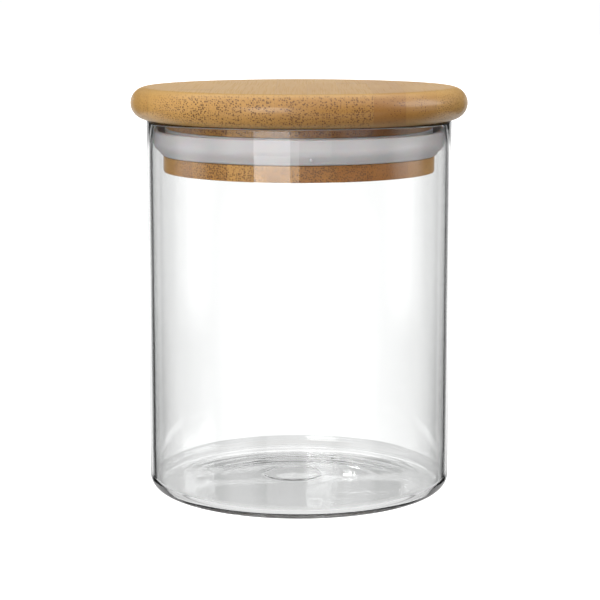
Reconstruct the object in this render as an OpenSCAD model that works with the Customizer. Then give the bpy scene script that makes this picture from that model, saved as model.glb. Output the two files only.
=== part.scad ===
// Glass storage canister with a push-in bamboo lid and a silicone lip seal.
// Origin: centre of the base, on the surface the jar stands on. +Z up, front towards -Y.
// Millimetres.

/* [Jar] */
// Outer diameter of the glass tube
jar_d = 100; // [80:0.5:130]
// Height from the foot to the top of the rim
jar_h = 122.6; // [80:0.2:200]
// Thickness of the glass wall
wall = 1.8; // [1.4:0.1:3]
// Thickness of the glass in the base
base_t = 2.2; // [1.8:0.1:4]
// Radius of the outer bottom corner
foot_round = 4.5; // [3:0.1:7]
// Radius of the corner between the inner wall and the floor
inner_round = 3; // [2:0.1:5]
// How far the base is pushed up at its centre
push_up = 1.1; // [0.5:0.1:2]
// Width of the flat foot ring
foot_ring_w = 4.5; // [3:0.1:8]

/* [Lid] */
// How far the lid's disc stands out past the glass, all round
overhang = 5.1; // [2:0.1:9]
// Thickness of the lid's disc, which has a fully rounded edge
disc_t = 10.4; // [7:0.1:15]
// How far the plug reaches down below the disc
plug_h = 17; // [15:0.5:26]
// Height of the plug's lower flange, under the seal
flange_h = 5.2; // [3:0.1:6]
// Bevel on the flange's lower edge
flange_bevel = 0.5; // [0.3:0.1:1]
// Depth of the groove that holds the seal
groove_depth = 3; // [2.4:0.1:4]
// How far the disc's strip grid lies off the centre
disc_grid_shift = -2.4; // [-3:0.1:3]
// How far the plug's strip grid lies off the centre
plug_grid_shift = 0.3; // [-3:0.1:3]

/* [Seal] */
// Height of the seal
seal_h = 8.1; // [6:0.1:9]
// Thickness of the seal's lip at its upper edge
lip_t = 1.4; // [1:0.1:1.8]
// Height of the upright upper part of the lip, which lies along the glass
lip_face_h = 3.9; // [2:0.1:5]
// Thickness of the web that joins the lip to the band
web_t = 2.6; // [2:0.1:3.5]

/* [Fits] */
// Gap between the rim and the underside of the lid's disc
seat_gap = 0.2; // [0.1:0.05:0.5]
// Gap between the wooden plug and the glass, all round
plug_gap = 3.7; // [3:0.1:5]
// Gap between the seal's lip and the glass
seal_gap = 0.15; // [0.1:0.05:0.4]
// Gap between the seal's band and its groove, on each side
groove_gap = 0.15; // [0.1:0.05:0.3]

/* [Hidden] */
$fn = 128;
arc_steps = 10;
disc_strips = 11;
plug_strips = 8;

jar_r = jar_d / 2;
bore_r = jar_r - wall;
ring_outer_r = jar_r - foot_round;
ring_inner_r = ring_outer_r - foot_ring_w;

disc_r = jar_r + overhang;
disc_edge_r = disc_t / 2;
plug_r = bore_r - plug_gap;
groove_r = plug_r - groove_depth;
groove_h = seal_h + 2 * groove_gap;

disc_z = jar_h + seat_gap;
plug_z = disc_z - plug_h;
groove_z = flange_h;
seal_z = plug_z + groove_z + groove_gap;

band_in_r = groove_r + groove_gap;
band_out_r = plug_r - 0.3;
lip_r = bore_r - seal_gap;
lip_root_r = plug_r + 0.3;

strip_margin = 1;
bamboo_tones = ["#d2a876", "#cba06c", "#d6ad7d", "#c79a66"];

function two_digits(i) = i < 10 ? str("0", i) : str(i);
function strip_names(stem, count) = [for (i = [1 : count]) str(stem, two_digits(i))];

// Points of an arc about (cx, cz), from angle a0 to angle a1
function arc(cx, cz, r, a0, a1) =
    [for (i = [0 : arc_steps]) let (a = a0 + (a1 - a0) * i / arc_steps)
        [cx + r * cos(a), cz + r * sin(a)]];

// Radius of the sphere that rises by push_up at the centre of the foot ring
dome_r = (ring_inner_r * ring_inner_r + push_up * push_up) / (2 * push_up);

// Points of the domed base at height z, from its centre out to the foot ring
function dome(z) =
    [for (i = [0 : arc_steps]) let (r = ring_inner_r * i / arc_steps)
        [r, z + push_up - dome_r + sqrt(dome_r * dome_r - r * r)]];

function reversed(points) = [for (i = [len(points) - 1 : -1 : 0]) points[i]];

// Blown tube with a fire-polished rim and a pushed-up base of even thickness
module glass_jar() {
    color([0.85, 0.92, 0.92, 0.35])
    rotate_extrude()
        polygon(concat(
            dome(0),
            arc(ring_outer_r, foot_round, foot_round, -90, 0),
            arc(jar_r - wall / 2, jar_h - wall / 2, wall / 2, 0, 180),
            arc(bore_r - inner_round, base_t + inner_round, inner_round, 0, -90),
            reversed(dome(base_t))));
}

// Silicone ring: a band that sits in the groove, and a lip turned up against the glass
module lip_seal() {
    color([0.88, 0.88, 0.86])
    translate([0, 0, seal_z])
    rotate_extrude()
        polygon([
            [band_in_r, 0],
            [lip_root_r, 0],
            [lip_root_r + (lip_r - lip_root_r) * 0.45, (seal_h - lip_face_h) * 0.35],
            [lip_root_r + (lip_r - lip_root_r) * 0.8, (seal_h - lip_face_h) * 0.68],
            [lip_r, seal_h - lip_face_h],
            [lip_r, seal_h - 0.4],
            [lip_r - 0.4, seal_h],
            [lip_r - lip_t, seal_h],
            [lip_r - lip_t - 0.3, web_t + 0.8],
            [band_out_r + 0.5, web_t],
            [band_out_r, web_t + 0.5],
            [band_out_r, seal_h],
            [band_in_r, seal_h]]);
}

// Disc of the lid before it is divided into strips, with a half-round edge
module disc_blank() {
    translate([0, 0, disc_z])
    rotate_extrude()
        union() {
            square([disc_r - disc_edge_r, disc_t]);
            translate([disc_r - disc_edge_r, disc_edge_r]) circle(r = disc_edge_r);
        }
}

// Plug of the lid before it is divided into strips, with its seal groove
module plug_blank() {
    translate([0, 0, plug_z])
    rotate_extrude()
        polygon([
            [0, 0],
            [plug_r - flange_bevel, 0],
            [plug_r, flange_bevel],
            [plug_r, groove_z],
            [groove_r, groove_z],
            [groove_r, groove_z + groove_h],
            [plug_r, groove_z + groove_h],
            [plug_r, plug_h],
            [0, plug_h]]);
}

// Where the glue line after strip i of a board lies: a grid of equal strips, moved by shift,
// on whole hundredths of a millimetre so that both strips at a glue line end at the same plane.
function glue_line(i, count, r, shift) =
    round((-r + i * 2 * r / count + shift) * 100) / 100;

// One strip of a glued board: what the blank has between two glue lines.
// The outer strips run on to the edge of the blank.
module strip(i, count, r, shift) {
    x0 = i == 1 ? -r - strip_margin : glue_line(i - 1, count, r, shift);
    x1 = i == count ? r + strip_margin : glue_line(i, count, r, shift);
    color(bamboo_tones[i % len(bamboo_tones)])
    intersection() {
        children();
        translate([x0, -r - strip_margin, plug_z - strip_margin])
            cube([x1 - x0, 2 * (r + strip_margin), plug_h + disc_t + 2 * strip_margin]);
    }
}

glass_jar();
lip_seal();
for (i = [1 : disc_strips])
    strip(i, disc_strips, disc_r, disc_grid_shift) disc_blank();
for (i = [1 : plug_strips])
    strip(i, plug_strips, plug_r, plug_grid_shift) plug_blank();
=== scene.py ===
import math

import bpy
import numpy as np
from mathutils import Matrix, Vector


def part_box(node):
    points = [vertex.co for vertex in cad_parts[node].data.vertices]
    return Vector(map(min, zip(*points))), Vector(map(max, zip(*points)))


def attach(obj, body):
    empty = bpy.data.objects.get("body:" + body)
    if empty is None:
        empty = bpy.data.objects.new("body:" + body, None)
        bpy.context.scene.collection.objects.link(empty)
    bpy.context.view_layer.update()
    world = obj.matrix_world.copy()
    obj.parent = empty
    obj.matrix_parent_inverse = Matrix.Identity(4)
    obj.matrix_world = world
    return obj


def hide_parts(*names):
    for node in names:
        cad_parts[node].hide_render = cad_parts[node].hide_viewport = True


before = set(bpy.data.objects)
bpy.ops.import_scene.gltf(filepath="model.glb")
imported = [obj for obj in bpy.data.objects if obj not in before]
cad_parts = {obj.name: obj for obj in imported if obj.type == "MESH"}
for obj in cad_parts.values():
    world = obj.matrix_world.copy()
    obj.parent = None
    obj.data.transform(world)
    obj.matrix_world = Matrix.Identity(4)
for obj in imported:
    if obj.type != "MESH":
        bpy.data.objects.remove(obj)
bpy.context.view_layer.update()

MM = 0.001

# ---------------------------------------------------------------- sizes
jar_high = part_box("glass_jar")[1]
seal_low, seal_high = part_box("lip_seal")
disc_names = sorted(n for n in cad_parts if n.startswith("disc_strip_"))
plug_names = sorted(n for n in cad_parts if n.startswith("plug_strip_"))

jar_r, jar_h = jar_high.x, jar_high.z
wall = 1.8 * MM
bore_r = jar_r - wall
base_t = 2.2 * MM
foot_round = 4.5 * MM
inner_round = 3 * MM
push_up = 1.1 * MM
foot_ring_w = 4.5 * MM

disc_low, disc_high = [corner.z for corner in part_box(disc_names[len(disc_names) // 2])]
disc_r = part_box(disc_names[-1])[1].x
plug_low, plug_high = [corner.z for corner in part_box(plug_names[0])]
plug_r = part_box(plug_names[-1])[1].x
groove_depth = 3 * MM
groove_gap = 0.15 * MM
flange_bevel = 0.5 * MM


# ---------------------------------------------------------------- camera
def make_camera():
    """A long lens a little above the lid, looking slightly down at the middle of the canister."""
    aside, distance, height = 0.0003, 0.6354, 0.165
    pitch = math.radians(9.18)
    data = bpy.data.cameras.new("camera")
    data.sensor_width = 36
    data.lens = 115.98
    camera = bpy.data.objects.new("camera", data)
    camera.location = (aside, -distance, height)
    camera.rotation_euler = (math.pi / 2 - pitch, 0, 0)
    bpy.context.scene.collection.objects.link(camera)
    bpy.context.scene.camera = camera


# ---------------------------------------------------------------- mesh code
def new_object(name, points, faces, smooth=None, sharp_angle=35):
    """A mesh object from points and faces. smooth says which faces are shaded smooth, all of them if
    it is left out, and edges sharper than sharp_angle degrees stay sharp."""
    mesh = bpy.data.meshes.new(name)
    mesh.from_pydata(points.tolist(), [], faces)
    flags = np.ones(len(faces), bool) if smooth is None else smooth
    mesh.polygons.foreach_set("use_smooth", flags)
    mesh.set_sharp_from_angle(angle=math.radians(sharp_angle))
    mesh.validate()
    mesh.update()
    made = bpy.data.objects.new(name, mesh)
    bpy.context.scene.collection.objects.link(made)
    return made


def arc(centre_r, centre_z, radius, start, end, steps):
    """Radius and height of points at even angles on an arc, from start to end in degrees."""
    angle = np.radians(np.linspace(start, end, steps + 1))
    return np.column_stack([centre_r + radius * np.cos(angle), centre_z + radius * np.sin(angle)])


def grid_faces(rows, columns, close_rows):
    """Quads of a grid whose columns close on themselves, and whose rows do if close_rows."""
    last = rows if close_rows else rows - 1
    i, j = np.meshgrid(np.arange(last), np.arange(columns), indexing="ij")
    up, on = (i + 1) % rows, (j + 1) % columns
    quads = [i * columns + j, i * columns + on, up * columns + on, up * columns + j]
    return np.stack(quads, -1).reshape(-1, 4).tolist()


def lathe(name, profile, segments, closed=False, rise=None, shift=(0, 0, 0)):
    """A profile of (radius, height) turned round the Z axis: x = r cos a, y = r sin a, z = h.
    A closed profile is a ring. An open one starts and ends on the axis, where it closes in a fan.
    rise gives a height to add at each x, y, z. shift then moves the mesh, not the object, so a
    piece that stands beside the axis still has its origin there."""
    angle = np.arange(segments) * 2 * np.pi / segments
    rings = profile if closed else profile[1:-1]
    r, h = rings[:, :1], rings[:, 1:]
    points = np.stack([r * np.cos(angle), r * np.sin(angle), h + 0 * angle], -1).reshape(-1, 3)
    faces = grid_faces(len(rings), segments, closed)
    if not closed:
        j = np.arange(segments)
        after, top = (j + 1) % segments, (len(rings) - 1) * segments
        pole = np.full(segments, len(points))
        fans = np.stack([pole, after, j, pole + 1, top + j, top + after], -1)
        faces += fans.reshape(-1, 3).tolist()
        points = np.vstack([points, [[0, 0, profile[0, 1]], [0, 0, profile[-1, 1]]]])
    if rise:
        points[:, 2] += rise(*points.T)
    return new_object(name, points + np.array(shift), faces)


def strip_rings(profile, low_x, high_x, radius, columns):
    """The level outlines of a turned blank between the planes x = low_x and x = high_x.
    At each height the blank is a circle of radius r. A middle strip takes the front arc
    y = -sqrt(r^2 - x^2) from left to right, then the back arc from right to left. An outer strip
    takes the arc beyond its one glue plane, at angles up to acos(plane / r) about the X axis."""
    r, h = profile[:, :1], profile[:, 1:]
    edge = radius * 0.999  # an outer strip reaches past this
    if high_x >= edge or low_x <= -edge:
        right = high_x >= edge
        reach = np.arccos((low_x if right else -high_x) / r)
        angle = np.linspace(-1, 1, 4 * columns) * reach + (0 if right else np.pi)
        x, y = r * np.cos(angle), r * np.sin(angle)
    else:
        across = np.linspace(low_x, high_x, columns)
        x = np.concatenate([across, across[::-1]]) + 0 * r
        y = np.sqrt(r**2 - x**2) * np.repeat([-1, 1], columns)
    return np.stack([x, y, h + 0 * x], -1)


def strip_piece(name, profile, low_x, high_x, radius, columns=14):
    """One strip of a glued board: stacked level outlines, closed below and above by a flat face.
    Its glue planes are shaded flat too: one joins the last point of each outline to the first, and
    a middle strip's other one joins the two arcs."""
    rings = strip_rings(profile, low_x, high_x, radius, columns)
    rows, around = rings.shape[:2]
    faces = grid_faces(rows, around, False)
    column = np.array(faces)[:, 0] % around
    glue = column == around - 1
    if around == 2 * columns:
        glue |= column == columns - 1
    ends = [list(range(around))[::-1], list(range((rows - 1) * around, rows * around))]
    smooth = np.concatenate([~glue, [False, False]])
    return new_object(name, rings.reshape(-1, 3), faces + ends, smooth)


# ---------------------------------------------------------------- shader code
def math_operator(operation):
    """A Python operator that adds a Math node, and its reflected form."""

    def forward(self, other):
        return self.math(operation, self, other)

    def reflected(self, other):
        return self.math(operation, other, self)

    return forward, reflected


class Wire:
    """A shader socket that takes part in sums: a + b, 1 - a, a * b, a / b and a ** b on values
    add Math nodes. node() makes any other node."""

    __add__, __radd__ = math_operator("ADD")
    __sub__, __rsub__ = math_operator("SUBTRACT")
    __mul__, __rmul__ = math_operator("MULTIPLY")
    __truediv__, __rtruediv__ = math_operator("DIVIDE")
    __pow__, __rpow__ = math_operator("POWER")

    def __init__(self, tree, socket):
        self.tree, self.socket = tree, socket

    def node(self, kind, settings=(), inputs=(), output=0):
        """Adds a node of this kind, sets its settings, then sets or links its inputs, and
        returns a Wire from its output."""
        made = self.tree.nodes.new("ShaderNode" + kind)
        for key, value in dict(settings).items():
            setattr(made, key, value)
        for key, value in dict(inputs).items():
            if isinstance(value, Wire):
                self.tree.links.new(value.socket, made.inputs[key])
            else:
                made.inputs[key].default_value = value
        return Wire(self.tree, made.outputs[output])

    def other(self, name):
        """Another output of the node that this Wire comes from."""
        return Wire(self.tree, self.socket.node.outputs[name])

    def math(self, operation, *values):
        return self.node("Math", {"operation": operation}, dict(enumerate(values)))

    def unsigned(self):
        """This value without its sign."""
        return self.math("ABSOLUTE", self)

    def larger(self, other):
        """The larger of this value and another."""
        return self.math("MAXIMUM", self, other)

    def step(self, start, end, low=0.0, high=1.0):
        """Goes smoothly from low to high as this value goes from start to end."""
        inputs = {0: self, 1: start, 2: end, 3: low, 4: high}
        return self.node("MapRange", {"interpolation_type": "SMOOTHSTEP"}, inputs)

    def band(self, start, end, soft):
        """1 between start and end, fading smoothly to 0 over soft on each side."""
        return self.step(start - soft, start) * (1 - self.step(end, end + soft))

    def mix(self, first, second):
        """The colour first where this value is 0 and second where it is 1. A Mix node has its
        colours at sockets 6, 7 and, going out, 2."""
        inputs = {0: self, 6: first, 7: second}
        return self.node("Mix", {"data_type": "RGBA"}, inputs, 2)

    def vector(self, x, y, z):
        return self.node("CombineXYZ", (), {0: x, 1: y, 2: z})

    def split(self):
        """The three values of a vector."""
        parts = self.node("SeparateXYZ", (), {0: self})
        return [parts.other(axis) for axis in "XYZ"]

    def noise(self, place, scale, detail=3.0, roughness=0.5):
        inputs = {"Vector": place, "Scale": scale, "Detail": detail, "Roughness": roughness}
        return self.node("TexNoise", (), inputs)


def new_material(name):
    """A material with a bare Principled shader, which it returns with a Wire to build nodes on."""
    material = bpy.data.materials.new(name)
    material.use_nodes = True
    shader = material.node_tree.nodes["Principled BSDF"]
    return material, shader, Wire(material.node_tree, None)


def feed(start, shader, **inputs):
    """Sets or links the shader's inputs. An underscore stands for a space in a name."""
    for key, value in inputs.items():
        socket = shader.inputs[key.replace("_", " ")]
        if isinstance(value, Wire):
            start.tree.links.new(value.socket, socket)
        else:
            socket.default_value = value


def own_place(start):
    """The piece's own coordinates in millimetres, as three values."""
    return [value * (1 / MM) for value in start.node("TexCoord", output="Object").split()]


def rgb(red, green, blue):
    return (red, green, blue, 1.0)


# ---------------------------------------------------------------- materials
def glass_material():
    """Clear borosilicate: the faint upright draw lines of a drawn tube, and wiped-clean haze."""
    material, shader, start = new_material("clear_glass")
    x, y, z = own_place(start)
    lines = start.noise(start.vector(x, y, z * 0.02), 0.55, 2.0)
    waves = start.noise(start.vector(x, y, z * 0.3), 0.06, 1.0)
    haze = start.noise(start.vector(x, y, z), 0.12, 4.0)
    height = lines * 0.25 + waves
    bump = start.node("Bump", (), {"Strength": 0.05, "Distance": 0.4 * MM, "Height": height})
    feed(start, shader, Base_Color=rgb(0.992, 0.997, 0.995), IOR=1.47, Transmission_Weight=1.0,
         Roughness=haze.step(0.45, 0.8, 0.0, 0.02), Normal=bump)
    return material


def silicone_material():
    """Milky food-grade silicone, satin, with the fine grain of its mould and a little dust."""
    material, shader, start = new_material("milky_silicone")
    x, y, z = own_place(start)
    cloud = start.noise(start.vector(x, y, z), 0.12, 2.0)
    grain = start.noise(start.vector(x, y, z), 2.2, 3.0)
    specks = start.noise(start.vector(x, y, z), 0.9, 1.0).step(0.74, 0.8)
    tone = cloud.mix(rgb(0.415, 0.40, 0.405), rgb(0.47, 0.455, 0.46))
    colour = (specks * 0.35).mix(tone, rgb(0.55, 0.53, 0.5))
    bump = start.node("Bump", (), {"Strength": 0.2, "Distance": 0.08 * MM, "Height": grain})
    feed(start, shader, Base_Color=colour, Roughness=0.42 + grain * 0.16, IOR=1.41,
         Subsurface_Weight=0.35, Subsurface_Scale=2.0 * MM, Normal=bump)
    return material


def bundle_dots(start, x, y, z, ragged, dense):
    """1 in the brown fibre bundles of bamboo and 0 between them: the middles of a cell pattern that
    is drawn out along Y, wider and more of them where dense is high. ragged makes them uneven."""
    place = start.vector(x + ragged, y * 0.012, z - ragged)
    inputs = {"Vector": place, "Scale": 1.66, "Randomness": 0.70}
    bundle = start.node("TexVoronoi", {"feature": "F1"}, inputs)
    chance = bundle.other("Color").split()[0]
    wide = dense.step(0.0, 1.0, 0.36, 0.60) * (0.84 + chance * 0.24)
    kept = (dense - chance * 0.2).step(-0.05, 0.1)
    return (1 - (bundle / wide).step(0.4, 1.0)) * kept


def bamboo_material(name, first_x, pitch):
    """Laminated bamboo, with fibres along Y. Each strip's tone and richness in fibre bundles are its
    attributes. The bundles are dots on the end grain and faint streaks along the grain, and they
    thicken from each strip's left glue line, which was nearer the pith, to its right. first_x is
    the place of the first glue line, and pitch is a strip's width."""
    material, shader, start = new_material(name)
    x, y, z = own_place(start)
    tone = start.node("Attribute", {"attribute_name": "tone"}).other("Fac")
    rich = start.node("Attribute", {"attribute_name": "rich"}).other("Fac")

    strip_w, glue_w = pitch / MM, 0.14
    across = (x - first_x / MM) / strip_w
    index = start.math("FLOOR", across)
    part = across - index
    luck = start.node("TexWhiteNoise", {"noise_dimensions": "1D"}, {"W": index + strip_w})

    _, facing, upward = start.node("TexCoord", output="Normal").split()
    end_grain = facing.unsigned().step(0.18, 0.80)
    flat = upward.unsigned().step(0.6, 0.97)

    sway = start.noise(start.vector(index * 3.7, y * 0.02, z * 0.06), 1.0, 1.0) * 1.6
    weave_x, weave_z = x + sway + index * 7.3, z + sway

    cloud = start.noise(start.vector(x * 0.22, y * 0.03, z * 0.22 + index), 1.0, 2.0)
    dense = part.step(-0.35, 0.75, 0.25, 1.0) * rich + (cloud - 0.5) * 0.5

    ragged = start.noise(start.vector(weave_x * 1.6, y * 0.05, weave_z * 1.6), 1.0, 2.0, 0.7) * 0.5
    dots = bundle_dots(start, weave_x, y, weave_z, ragged, dense)
    fibre = start.noise(start.vector(weave_x * 1.7, y * 0.03, weave_z * 1.7), 1.0, 3.0, 0.6)
    thread = start.noise(start.vector(weave_x * 5.0, y * 0.08, weave_z * 5.0), 1.0, 2.0, 0.6)
    patch = start.noise(start.vector(x * 0.05 + index * 0.4, y * 0.022, z * 0.06), 1.0, 2.0)

    knuckle_y = (luck - 0.5) * 260
    knuckle = 1 - (y - knuckle_y + sway).unsigned().step(0.6, 3.4)
    glue = (part - 0.5).unsigned().step(0.5 - glue_w / strip_w, 0.5)

    long_grain = tone.mix(rgb(0.55, 0.315, 0.076), rgb(0.42, 0.215, 0.048))
    long_grain = patch.step(0.35, 0.7).mix(long_grain, rgb(0.52, 0.30, 0.082))
    end_tone = tone.mix(rgb(0.58, 0.32, 0.080), rgb(0.25, 0.098, 0.019))
    ground = end_grain.mix(long_grain, end_tone)
    shade = dense.step(0.2, 1.0) * end_grain * 0.10 + fibre.step(0.35, 0.75) * (0.22 - flat * 0.19)
    shade = shade + thread.step(0.4, 0.7) * (1 - flat) * 0.18
    ground = shade.mix(ground, rgb(0.22, 0.09, 0.022))
    dark = dots * (0.015 + end_grain * 0.90)
    ground = dark.mix(ground, rgb(0.085, 0.032, 0.009))
    ground = (knuckle * 0.25).mix(ground, rgb(0.22, 0.11, 0.045))
    ground = (glue * 0.22).mix(ground, rgb(0.16, 0.08, 0.03))

    height = (fibre * 0.5 + thread * 0.3 - dots * 0.6) * (1 - flat * 0.93) - glue * 0.5
    bump = start.node("Bump", (), {"Strength": 0.22, "Distance": 0.10 * MM, "Height": height})
    rough = 0.36 + fibre * 0.10 + dots * 0.10 + end_grain * 0.02
    feed(start, shader, Base_Color=ground, Roughness=rough, IOR=1.46, Coat_Weight=0.25,
         Coat_Roughness=0.15, Normal=bump)
    return material


# ---------------------------------------------------------------- jar
def ripple(away, width, height):
    """The height of a smooth ridge at a distance away from its crest: height exp(-(away / width)^2),
    with the width and the height in millimetres."""
    return height * MM * np.exp(-((away / (width * MM)) ** 2))


def base_marks(x, y, z):
    """What the closing of the base left in the glass: a round mark in the middle, arcs that fan out
    behind it, centred in front of the axis, and long low waves that are products and sums of
    sines. All of it is about three times higher on the inside."""
    r = np.hypot(x, y)
    inside = z > base_t * 0.8
    wave_height, under_share = 0.014 * MM, 0.35
    margin, fade_w = 3 * MM, 6 * MM
    rise = ripple(np.hypot(x + 2 * MM, y - 0.5 * MM) - 9.5 * MM, 0.8, 0.10)
    rise += ripple(np.hypot(x + 2 * MM, y), 7, 0.10)
    # each arc's centre on the Y axis, radius, reach to each side in radians, width and height
    for centre, radius, span, width, height in [
        (-26, 46.7, 0.50, 0.55, 0.24),
        (-26, 51.0, 0.30, 0.60, 0.11),
        (-30, 47.0, 0.62, 0.80, 0.06),
        (-12, 36.0, 1.00, 0.90, 0.07),
        (-8, 27.0, 1.15, 1.20, 0.06),
        (-14, 43.0, 0.95, 1.10, 0.05),
    ]:
        away = np.hypot(x, y - centre * MM) - radius * MM
        turn = np.arctan2(x, y - centre * MM)
        rise += ripple(away, width, height) * np.exp(-((turn / span) ** 4))
    u, v = x / MM, y / MM
    rise += wave_height * (np.sin(0.21 * u + 1) * np.sin(0.13 * v) + np.sin(0.05 * u - 0.33 * v))
    low = (z < base_t + 2 * push_up) & (z > 0.02 * MM)
    fade = np.clip((bore_r - inner_round - margin - r) / fade_w, 0, 1)
    return rise * fade * low * np.where(inside, 1.0, under_share)


def jar_profile():
    """Half section of the jar, from the underside's centre out, up, over the rim and in to the
    floor's centre. The base rises by push_up (1 - (r / ring)^2) inside the ring that it stands on.
    The base has close rings for its ripples, and the upright walls have few."""
    under_rings, foot_rings, wall_rings, floor_rings = 130, 6, 12, 140
    ring_outer = jar_r - foot_round
    ring_inner = ring_outer - foot_ring_w
    floor_outer = bore_r - inner_round

    r = np.linspace(0, ring_inner, under_rings)
    under = push_up * (1 - (r / ring_inner) ** 2)
    q = np.linspace(floor_outer, 0, floor_rings)
    over = base_t + push_up * np.maximum(1 - (q / ring_inner) ** 2, 0)

    upright = np.linspace(0, 1, wall_rings + 2)[1:-1]
    stand = np.linspace(ring_inner, ring_outer, foot_rings + 2)[1:-1]
    top = jar_h - wall / 2
    return np.vstack([
        np.column_stack([r, under]),
        np.column_stack([stand, np.zeros(foot_rings)]),
        arc(ring_outer, foot_round, foot_round, -90, 0, 20),
        np.column_stack([np.full(wall_rings, jar_r), foot_round + (top - foot_round) * upright]),
        arc(jar_r - wall / 2, top, wall / 2, 0, 180, 16),
        np.column_stack([np.full(wall_rings, bore_r), top + (base_t + inner_round - top) * upright]),
        arc(floor_outer, base_t + inner_round, inner_round, 0, -90, 16)[:-1],
        np.column_stack([q, over]),
    ])


def make_jar():
    """The glass jar. It throws no shadow of its own, as thin clear glass hardly does."""
    jar = lathe("clear_jar", jar_profile(), 256, rise=base_marks)
    jar.data.materials.append(glass_material())
    jar.visible_shadow = False
    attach(jar, "jar")
    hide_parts("glass_jar")


# ---------------------------------------------------------------- seal
def bend(points, steps):
    """A smooth curve from the first point to the last, drawn towards those between: the sum of each
    point times its share, binomial(n, k) t^k (1 - t)^(n - k)."""
    t = np.linspace(0, 1, steps + 1)[:, None]
    count = len(points) - 1
    curve = 0
    for k, point in enumerate(points):
        curve = curve + math.comb(count, k) * t**k * (1 - t) ** (count - k) * np.array(point)
    return curve


def seal_profile():
    """Section of the seal: a band in the groove, and a lip that sweeps out and up to the glass,
    with a slot between them that is open at the top."""
    low, high = seal_low.z, seal_high.z
    band_in = plug_r - groove_depth + groove_gap
    band_out = plug_r - 0.3 * MM
    lip = seal_high.x
    face = high - 3.1 * MM
    web = low + 2.6 * MM
    turn = (plug_r + 1.2 * MM, low + 1.1 * MM)
    return np.vstack([
        [(band_in, low)],
        bend([(plug_r - 0.2 * MM, low), (plug_r + 0.5 * MM, low), turn], 6)[:-1],
        bend([turn, (lip - 0.6 * MM, low + 2.7 * MM), (lip, face - 1.2 * MM), (lip, face)], 12)[:-1],
        [(lip, face), (lip, high - 1.2 * MM)],
        bend([(lip, high - 0.6 * MM), (lip, high), (lip - 0.6 * MM, high)], 6),
        bend([(lip - 1.0 * MM, high), (lip - 1.5 * MM, high), (lip - 1.6 * MM, high - 0.6 * MM)], 5),
        bend([(lip - 1.8 * MM, web + 2.2 * MM), (lip - 2.2 * MM, web), (band_out + 0.5 * MM, web),
              (band_out, web), (band_out, web + 0.9 * MM)], 12),
        [(band_out, high - 0.4 * MM)],
        bend([(band_out, high - 0.3 * MM), (band_out, high), (band_out - 0.3 * MM, high)], 4),
        [(band_in, high)],
    ])


def make_seal():
    """The lip seal, and the nub that its mould leaves on the lip near the front, a small ball that
    is half sunk in it."""
    seal = lathe("lip_seal_ring", seal_profile(), 192, closed=True)
    seal.data.materials.append(silicone_material())
    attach(seal, "seal")
    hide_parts("lip_seal")

    nub_r, across, above = 0.6 * MM, 3.65 * MM, 1.9 * MM
    lip_r = plug_r + 2.1 * MM
    place = (across, -np.sqrt(lip_r**2 - across**2), seal_low.z + above)
    nub = lathe("mould_nub", arc(0, 0, nub_r, -90, 90, 12), 24, shift=place)
    nub.data.materials.append(seal.data.materials[0])
    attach(nub, "seal")


# ---------------------------------------------------------------- lid
def disc_profile():
    """Edge of the disc: a half circle of the disc's thickness, at angles of 90 sin(t) degrees for
    even steps of t, which are finer where it meets the flat faces."""
    edge = (disc_high - disc_low) / 2
    angle = np.radians(90 * np.sin(np.radians(np.linspace(-90, 90, 37))))
    middle = (disc_high + disc_low) / 2
    return np.column_stack([disc_r - edge + edge * np.cos(angle), middle + edge * np.sin(angle)])


def plug_profile():
    """Edge of the plug: a bevelled flange, the groove for the seal, and the neck under the disc."""
    groove_low = seal_low.z - groove_gap
    groove_high = seal_high.z + groove_gap
    inner = plug_r - groove_depth
    ease = 0.15 * MM
    return np.array([
        (plug_r - flange_bevel, plug_low),
        (plug_r - 0.2 * flange_bevel, plug_low + 0.25 * flange_bevel),
        (plug_r, plug_low + flange_bevel),
        (plug_r, groove_low - ease),
        (plug_r - ease, groove_low),
        (inner, groove_low),
        (inner, groove_high),
        (plug_r - ease, groove_high),
        (plug_r, groove_high + ease),
        (plug_r, plug_high),
    ])


def make_board(names, profile, radius, slot, grades):
    """The strips of one glued board, each cut from the blank between its own two glue planes. A
    strip's grade is its tone, from 0, pale, to 1, brown, and how rich it is in fibre bundles."""
    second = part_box(names[1])
    material = bamboo_material(slot, second[0].x, second[1].x - second[0].x)
    for name, grade in zip(names, grades, strict=True):
        low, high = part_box(name)
        strip = strip_piece(name + "_wood", profile, low.x, high.x, radius)
        for key, value in zip(("tone", "rich"), grade, strict=True):
            layer = strip.data.attributes.new(key, "FLOAT", "POINT")
            layer.data.foreach_set("value", np.full(len(strip.data.vertices), value, np.float32))
        strip.data.materials.append(material)
        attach(strip, "lid")
        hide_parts(name)


def make_lid():
    """The disc and the plug below it, with a (tone, rich) pair for each strip from left to right."""
    make_board(disc_names, disc_profile(), disc_r, "bamboo_disc", [
        (0.30, 0.35), (0.15, 0.45), (0.12, 0.85), (0.24, 0.90), (0.30, 1.00), (0.42, 1.10),
        (0.50, 1.15), (0.50, 1.15), (0.80, 0.20), (0.60, 0.15), (0.35, 0.75)])
    make_board(plug_names, plug_profile(), plug_r, "bamboo_plug", [
        (0.85, 0.60), (0.55, 1.00), (0.30, 1.00), (0.50, 1.10), (0.90, 1.40), (1.00, 0.80),
        (1.00, 0.30), (0.85, 0.20)])


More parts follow.
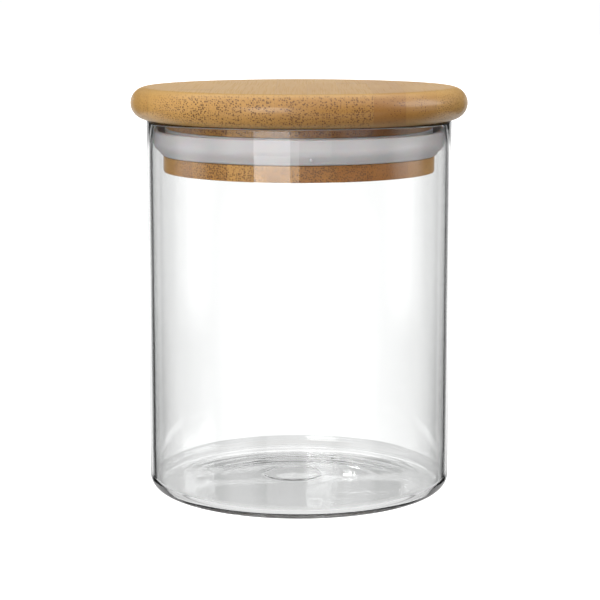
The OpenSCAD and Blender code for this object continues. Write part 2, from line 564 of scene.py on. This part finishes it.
# ---------------------------------------------------------------- studio
def make_floor():
    """A pale matt floor that reaches past every view. The glass is lit by the studio round it, so
    it isn't seen in reflections or through the glass."""
    reach = 6.0
    corners = np.array([[-1, -1, 0], [1, -1, 0], [1, 1, 0], [-1, 1, 0]]) * reach
    floor = new_object("floor", corners, [[0, 1, 2, 3]])
    material, shader, start = new_material("pale_floor")
    x, y, _ = own_place(start)
    mottle = start.noise(start.vector(x, y, 0.0), 0.01, 3.0)
    colour = mottle.mix(rgb(0.9, 0.9, 0.9), rgb(0.93, 0.93, 0.93))
    feed(start, shader, Base_Color=colour, Roughness=0.9, Specular_IOR_Level=0.1,
         Emission_Color=rgb(1, 1, 1), Emission_Strength=0.5)
    floor.data.materials.append(material)
    floor.visible_glossy = False
    floor.visible_transmission = False
    floor.visible_diffuse = False


def window_light(start, heading, elevation, front, side):
    """White windows at eye level in eight directions, the four squares and the four corners, and
    below each one a dimmer panel that the base is seen against. A window is so wide that only the
    edge of the glass bends the dark beyond it into view, and it ends where the base begins: a low
    arch in the middle of a square one, straight in the others. All sizes are in degrees."""
    from_square = start.math("PINGPONG", heading, 45.0)
    from_corner = 45 - from_square
    half_w, white, dim = 24.5, 1.16, 0.8

    def window(away, low, high, fade):
        """The light of a window from low to high and of its panel, away from its middle. Where
        fade is 1 the window has soft edges and dims towards its ends."""
        inside = 1 - away.step(half_w - 1, half_w + 1)
        shade = away.step(2.5, 6.5) * 0.10 + side * 0.12 + fade * away.step(6, 23) * 0.9
        shade = shade + away.step(6, 12) * (1 - elevation.step(-13.5, -8)) * 0.20
        lit = elevation.band(low, high, 0.3 + fade * 2.2) * (white - shade)
        below = elevation.step(-42, -38) * (1 - elevation.step(low - 0.3, low)) * (1 - side)
        return inside * (lit + below * dim)

    arch_half_w, arch_h, sill = 4.15, 0.95, -14.37
    arch = start.math("SQRT", (1 - (from_square / arch_half_w) ** 2).larger(0.0))
    foot = arch * arch_h + sill - from_square.step(4.1, 4.6) * 2.4
    square = window(from_square, foot * (1 - side) - side * 8.4, 4.0, side)
    corner = window(from_corner, front * 9 - 27.5, front * 9.2 - 17, front)
    return square.larger(corner)


def make_studio():
    """A dark room round the canister, lit by direction: windows at eye level, a bright ceiling, a
    tall softbox in front on the left, a wide one high on the right, weak lights on the left and a
    small lamp high at the back. A heading is 0 at the back, 90 on the right and 180 in front."""
    world = bpy.data.worlds.new("studio")
    world.use_nodes = True
    start = Wire(world.node_tree, None)
    x, y, z = start.node("TexCoord", output="Generated").split()
    degrees = 180 / math.pi
    heading = start.math("ARCTAN2", x, y) * degrees
    elevation = start.math("ARCSINE", z) * degrees
    front = heading.unsigned().step(88, 92)
    side = (heading.unsigned() - 90).unsigned().step(26, 36, 1.0, 0.0)
    rays = start.node("LightPath")
    matt, through = rays.other("Is Diffuse Ray"), rays.other("Is Transmission Ray")
    seen = rays.other("Is Camera Ray")

    def panel(headings, elevations, soft, soft_up):
        """1 between two headings and two elevations, fading out past them."""
        return heading.band(*headings, soft) * elevation.band(*elevations, soft_up)

    level = window_light(start, heading, elevation, front, side)
    level = level.larger(elevation.step(-15, -3, 0.02, 0.09))
    dark_flag = (heading - 153).unsigned().step(28, 34, 1.0, 0.0) * elevation.band(-6.3, 9, 0.5)
    level = level * (1 - dark_flag * 0.9)
    upper_wall = elevation.step(9, 15) * (0.2 + front * 0.2)
    ceiling = elevation.step(34, 46) * 1.5
    ground = elevation.step(-44, -38, 1.0, 0.0) * (0.35 + through * 0.5)
    level = level.larger(upper_wall).larger(ceiling).larger(ground)

    left_box = panel((-173, -147), (-6.5, 30), 1.0, 0.8)
    level = level * (1 - left_box) + left_box * elevation.step(-2, 4, 3.4, 5.2)
    right_box = panel((68, 100), (14, 38), 5, 4) * 4.2
    left_key = panel((-118, -62), (14, 40), 8, 5) * 0.5
    left_low = panel((-125, -55), (-40, 14), 8, 5) * matt * 1.2
    left_glow = panel((-172, -138), (12, 26), 6, 4) * 2.4
    lamp = (heading - 2.6).unsigned().step(0.2, 0.3, 1.0, 0.0) * elevation.band(13.9, 14.3, 0.1) * 12
    level = level + right_box + left_key + left_low + left_glow + lamp

    backdrop = 1.02
    level = level * (1 - seen) + seen * backdrop
    feed(start, world.node_tree.nodes["Background"], Color=rgb(1, 1, 1), Strength=level)
    scene = bpy.context.scene
    scene.world = world
    scene.view_settings.view_transform = "Standard"
    # the thin lines in the foot of the glass come of many reflections inside it
    paths = scene.cycles
    paths.max_bounces, paths.glossy_bounces, paths.transmission_bounces = 24, 16, 24


make_camera()
make_jar()
make_seal()
make_lid()
make_floor()
make_studio()
